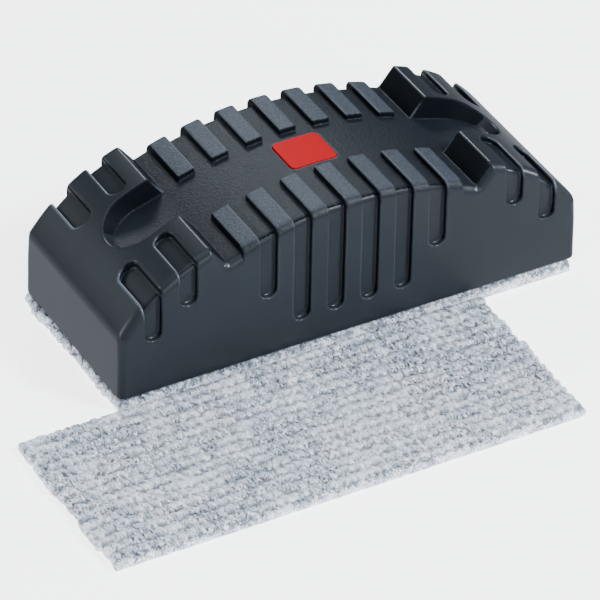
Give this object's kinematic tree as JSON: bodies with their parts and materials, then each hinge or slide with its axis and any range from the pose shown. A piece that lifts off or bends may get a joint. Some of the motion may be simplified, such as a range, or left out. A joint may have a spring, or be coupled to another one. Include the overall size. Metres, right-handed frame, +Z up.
{
  "type": "board eraser",
  "caption": "Dry-wipe board eraser with an arched, ribbed plastic grip and a peel-off fleece pad held by hook tape, lying beside a spare fleece pad.",
  "frame": {"origin": "centre of the fitted pad's underside, the face that rests on a table or wipes a board", "axes": "+X along the eraser, +Y across it and away from the spare pad, +Z up out of the grip"},
  "size_m": [0.182, 0.1215, 0.0501],
  "materials": {
    "grip_plastic": "fine satin grain",
    "badge_plastic": "smooth satin",
    "plate_plastic": "plain moulded",
    "ferrite": "matt sintered",
    "hook_tape": "short stiff hooks",
    "fleece": "stitch-bonded fleece"
  },
  "bodies": {
    "fitted_pad": {"fitted_pad": "fleece"},
    "eraser": {"cover_shell": "grip_plastic", "badge": "badge_plastic", "base_plate": "plate_plastic", "magnet_left": "ferrite", "magnet_right": "ferrite", "hook_tape_left": "hook_tape", "hook_tape_centre": "hook_tape", "hook_tape_right": "hook_tape"},
    "spare_pad": {"spare_pad": "fleece"}
  },
  "joints": [
    {"name": "grip_peel_off", "type": "slide", "parent": "fitted_pad", "child": "eraser", "axis": [0, 0, 1], "range_m": [0, 0.05]},
    {"name": "spare_pad_lift", "type": "slide", "parent": "fitted_pad", "child": "spare_pad", "axis": [0, 0, 1], "range_m": [0, 0.05]}
  ]
}
